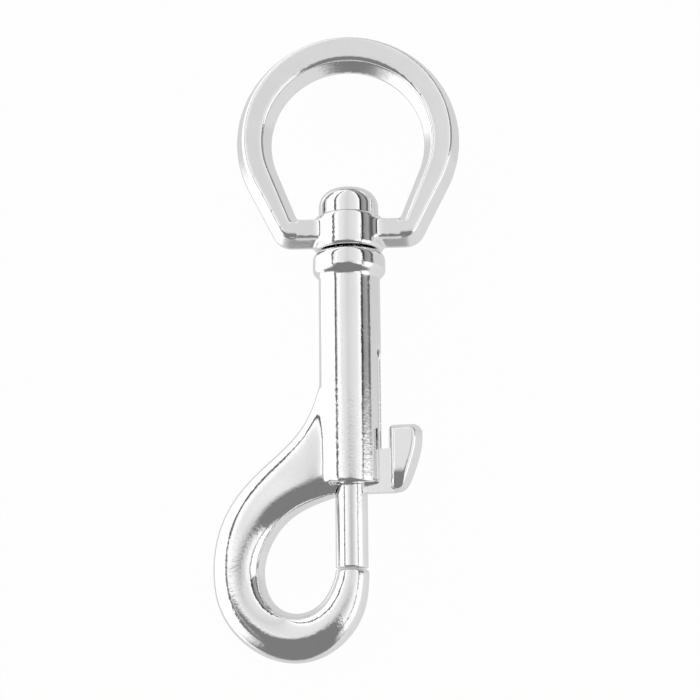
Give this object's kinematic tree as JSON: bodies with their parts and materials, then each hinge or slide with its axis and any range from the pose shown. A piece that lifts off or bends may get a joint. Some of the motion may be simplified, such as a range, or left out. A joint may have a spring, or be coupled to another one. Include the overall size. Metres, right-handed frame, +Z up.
{
  "type": "swivel snap hook",
  "caption": "Bright plated cast hook with a spring-loaded sliding bolt gate and a round swivelling strap eye.",
  "frame": {"origin": "centre of the footprint, on the surface the hook lies on", "axes": "+Y along the barrel from the hook toward the swivel eye, +Z up, square to the hook's plane, +X toward the thumb piece"},
  "size_m": [0.0402, 0.1026, 0.0117],
  "materials": {
    "plated_zinc": "bright nickel plating over cast zinc, mirror-like with a faint cast waviness",
    "spring_steel": "plain drawn spring wire"
  },
  "bodies": {
    "hook": {"hook_body": "plated_zinc", "swivel_rivet": "plated_zinc", "bolt_spring": "spring_steel"},
    "eye": {"swivel_eye": "plated_zinc"},
    "latch": {"latch_bolt": "plated_zinc"}
  },
  "joints": [
    {"name": "swivel", "type": "hinge", "parent": "hook", "child": "eye", "pos_m": [0.00199, 0.01703, 0.00587], "axis": [0, 1, 0], "continuous": true},
    {"name": "bolt_slide", "type": "slide", "parent": "hook", "child": "latch", "axis": [0, 1, 0], "range_m": [0, 0.015], "stiffness_N_per_m": 400, "springref_m": -0.005, "deforming": ["bolt_spring"]}
  ]
}
